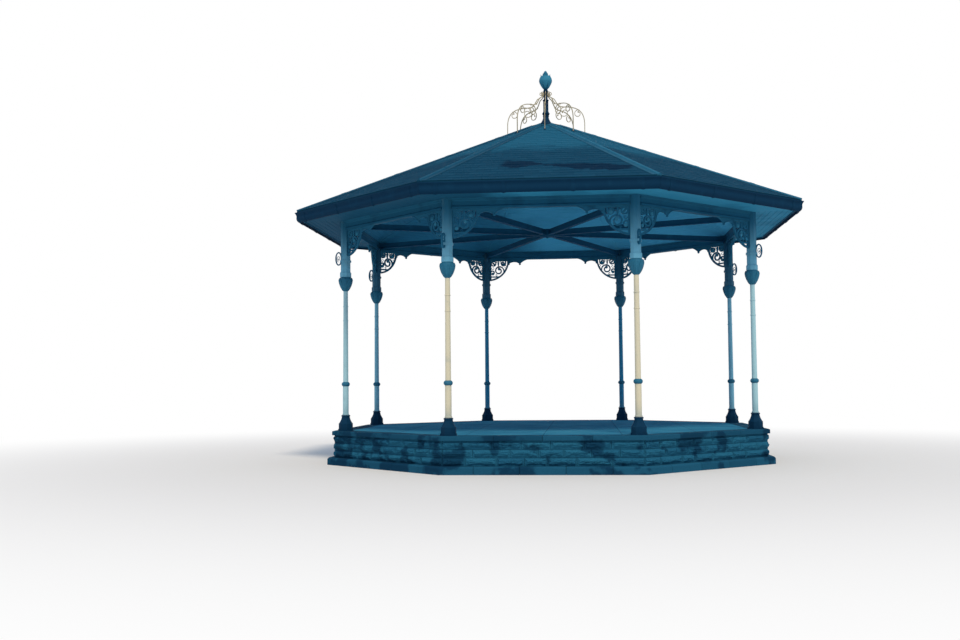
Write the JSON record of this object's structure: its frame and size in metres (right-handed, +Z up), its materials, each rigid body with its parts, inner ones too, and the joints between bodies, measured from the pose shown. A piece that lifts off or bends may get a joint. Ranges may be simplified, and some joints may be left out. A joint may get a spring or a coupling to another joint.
{
  "type": "bandstand",
  "caption": "Open octagonal bandstand: stone plinth, slim iron columns with scroll brackets, low slated roof with hip rolls, finial and ring of iron scrolls.",
  "frame": {"origin": "on the ground at the centre of the octagonal plinth", "axes": "+Z up along the finial, -Y out of the front side, +X to the right when facing that side"},
  "size_m": [10.4302, 10.4302, 8.7249],
  "materials": {
    "plinth_stone": "rough rock-faced stone",
    "coping_stone": "dressed stone",
    "floor": "smooth concrete",
    "fill": "packed rubble",
    "column_iron": "painted, gloss",
    "dark_iron": "painted, satin",
    "bracket_iron": "painted, satin",
    "lintel_paint": "painted, satin",
    "painted_wood": "painted, satin",
    "boarding": "painted boards",
    "bare_wood": "sawn",
    "gutter_iron": "painted, satin",
    "slate": "weathered slate",
    "lead": "dull lead",
    "scroll_iron": "painted wrought iron"
  },
  "bodies": {
    "root": {"base_course": "plinth_stone", "plinth_wall": "plinth_stone", "coping": "coping_stone", "floor_slab": "floor", "plinth_fill": "fill", "pedestals": "dark_iron", "column_1": "column_iron", "brackets_1": "bracket_iron", "lintel_1": "lintel_paint", "column_2": "column_iron", "brackets_2": "bracket_iron", "lintel_2": "lintel_paint", "column_3": "column_iron", "brackets_3": "bracket_iron", "lintel_3": "lintel_paint", "column_4": "column_iron", "brackets_4": "bracket_iron", "lintel_4": "lintel_paint", "column_5": "column_iron", "brackets_5": "bracket_iron", "lintel_5": "lintel_paint", "column_6": "column_iron", "brackets_6": "bracket_iron", "lintel_6": "lintel_paint", "column_7": "column_iron", "brackets_7": "bracket_iron", "lintel_7": "lintel_paint", "column_8": "column_iron", "brackets_8": "bracket_iron", "lintel_8": "lintel_paint", "tie_beams": "painted_wood", "tie_hub": "painted_wood", "soffit": "boarding", "ceiling": "boarding", "fascia": "painted_wood", "gutter": "gutter_iron", "roof_slopes": "slate", "hip_rafters": "bare_wood", "king_block": "painted_wood", "hip_rolls": "lead", "apex_cap": "lead", "finial_post": "dark_iron", "finial_bud": "dark_iron", "finial_scrolls": "scroll_iron"}
  },
  "joints": []
}
